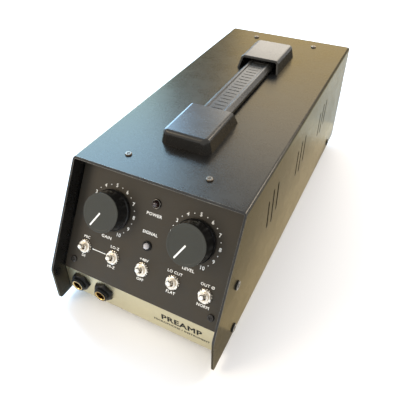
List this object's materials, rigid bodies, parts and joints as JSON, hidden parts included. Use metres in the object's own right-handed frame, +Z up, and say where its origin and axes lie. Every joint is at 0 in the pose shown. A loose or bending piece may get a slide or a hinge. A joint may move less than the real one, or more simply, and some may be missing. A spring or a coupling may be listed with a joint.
{
  "type": "microphone preamp",
  "caption": "Desktop microphone preamp in a sloping-front steel case with a strap handle, two dials, a row of toggles and front jacks.",
  "frame": {"origin": "centre of the footprint, on the surface that the feet stand on", "axes": "+X to the right seen from the front, +Y from front to back along the case, +Z up"},
  "size_m": [0.1252, 0.305, 0.115],
  "materials": {
    "cover_powder": "fine matt black powder coat",
    "champagne_steel": "satin champagne plating",
    "panel_black": "smooth satin black with white print",
    "zinc_steel": "bright zinc plate",
    "black_screw": "black oxide",
    "foot_rubber": "moulded rubber",
    "nickel": "nickel plate",
    "lamp_red": "clear red lens",
    "lamp_clear": "water clear lens",
    "black_plastic": "moulded nylon",
    "board_green": "solder mask",
    "brass_plate": "gold plated brass",
    "cap_plastic": "satin moulded plastic",
    "strap_rubber": "moulded rubber with a ribbed panel",
    "winding_tape": "polyester tape over copper",
    "can_steel": "drawn can",
    "core_iron": "varnished laminations",
    "sleeve_plastic": "shrink sleeve",
    "ribbon_grey": "ribbon cable",
    "socket_black": "black chrome shell",
    "rocker_plastic": "polished plastic",
    "knob_black": "fine grained plastic",
    "switch_body": "moulded switch case"
  },
  "bodies": {
    "root": {"outer_cover": "cover_powder", "chassis": "champagne_steel", "front_panel": "panel_black", "rear_panel": "panel_black", "panel_brackets": "zinc_steel", "case_screws": "black_screw", "side_screws": "black_screw", "rear_screws": "black_screw", "foot_screws": "zinc_steel", "rubber_feet": "foot_rubber", "pot_nuts": "nickel", "switch_nuts": "nickel", "power_lamp_bezel": "nickel", "power_lamp_lens": "lamp_red", "signal_lamp_bezel": "black_plastic", "signal_lamp_lens": "lamp_clear", "control_board": "board_green", "main_board": "board_green", "board_posts": "nickel", "jack_ferrules": "brass_plate", "jack_nuts": "black_plastic", "front_handle_cap": "cap_plastic", "rear_handle_cap": "cap_plastic", "handle_strap": "strap_rubber", "handle_core": "zinc_steel", "handle_bolts": "zinc_steel", "power_transformer": "winding_tape", "transformer_clamp": "zinc_steel", "input_transformer": "can_steel", "output_transformer": "core_iron", "filter_capacitors": "sleeve_plastic", "ribbon_cable": "ribbon_grey", "mic_input_socket": "socket_black", "line_output_socket": "socket_black", "contact_pins": "brass_plate", "power_inlet": "black_plastic", "level_switch": "zinc_steel", "gain_pot": "zinc_steel", "level_pot": "zinc_steel", "source_switch": "switch_body", "impedance_switch": "switch_body", "phantom_switch": "switch_body", "low_cut_switch": "switch_body", "polarity_switch": "switch_body", "instrument_jack": "black_plastic", "through_jack": "black_plastic"},
    "gain_control": {"gain_knob": "knob_black", "gain_knob_screw": "zinc_steel", "gain_pot_shaft": "nickel"},
    "level_control": {"level_knob": "knob_black", "level_knob_screw": "zinc_steel", "level_pot_shaft": "nickel"},
    "source_toggle": {"source_lever": "nickel"},
    "impedance_toggle": {"impedance_lever": "nickel"},
    "phantom_toggle": {"phantom_lever": "nickel"},
    "low_cut_toggle": {"low_cut_lever": "nickel"},
    "polarity_toggle": {"polarity_lever": "nickel"},
    "mic_latch": {"mic_input_latch": "nickel"},
    "mains_rocker": {"power_rocker": "rocker_plastic"},
    "level_selector": {"level_slider": "black_plastic"}
  },
  "joints": [
    {"name": "gain_turn", "type": "hinge", "parent": "root", "child": "gain_control", "pos_m": [-0.0309, -0.1166, 0.07301], "axis": [0, 0.8597, -0.5109], "range_deg": [0, 300]},
    {"name": "level_turn", "type": "hinge", "parent": "root", "child": "level_control", "pos_m": [0.0309, -0.1166, 0.07301], "axis": [0, 0.8597, -0.5109], "range_deg": [0, 300]},
    {"name": "source_flip", "type": "hinge", "parent": "root", "child": "source_toggle", "pos_m": [-0.0458, -0.1331, 0.04699], "axis": [1, 0, 0], "range_deg": [0, 24]},
    {"name": "impedance_flip", "type": "hinge", "parent": "root", "child": "impedance_toggle", "pos_m": [-0.0229, -0.1331, 0.04699], "axis": [1, 0, 0], "range_deg": [0, 24]},
    {"name": "phantom_flip", "type": "hinge", "parent": "root", "child": "phantom_toggle", "pos_m": [0, -0.1331, 0.04699], "axis": [1, 0, 0], "range_deg": [0, 24]},
    {"name": "low_cut_flip", "type": "hinge", "parent": "root", "child": "low_cut_toggle", "pos_m": [0.0229, -0.1331, 0.04699], "axis": [1, 0, 0], "range_deg": [0, 24]},
    {"name": "polarity_flip", "type": "hinge", "parent": "root", "child": "polarity_toggle", "pos_m": [0.0458, -0.1331, 0.04699], "axis": [1, 0, 0], "range_deg": [0, 24]},
    {"name": "mic_latch_push", "type": "slide", "parent": "root", "child": "mic_latch", "axis": [0, -1, 0], "range_m": [0, 0.0016], "stiffness_N_per_m": 400},
    {"name": "power_rock", "type": "hinge", "parent": "root", "child": "mains_rocker", "pos_m": [-0.02, 0.1399, 0.052], "axis": [0, 0, -1], "range_deg": [0, 14]},
    {"name": "level_select", "type": "slide", "parent": "root", "child": "level_selector", "axis": [-1, 0, 0], "range_m": [0, 0.003]}
  ]
}
